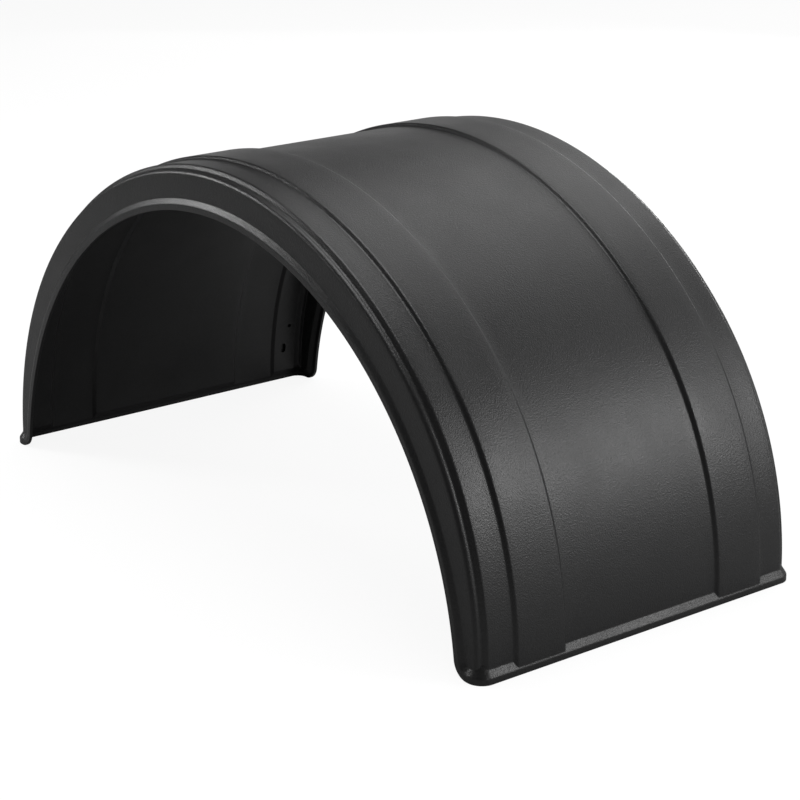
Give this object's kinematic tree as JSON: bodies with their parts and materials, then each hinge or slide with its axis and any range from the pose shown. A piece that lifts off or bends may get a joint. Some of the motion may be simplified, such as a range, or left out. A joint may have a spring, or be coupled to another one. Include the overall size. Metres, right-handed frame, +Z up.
{
  "type": "trailer mudguard",
  "caption": "Half-round moulded plastic mudguard for a trailer wheel, with raised bands along its back, side skirts, and a stepped rim round skirts and feet.",
  "frame": {"origin": "on the floor, midway between the two feet and midway between the two skirts", "axes": "+X along the guard from one foot to the other, +Y across it towards one skirt, +Z up through the crown"},
  "size_m": [0.924, 0.45, 0.44],
  "materials": {
    "black_plastic": "fine-grained, semi-matt"
  },
  "bodies": {
    "root": {"mudguard_shell": "black_plastic"}
  },
  "joints": []
}
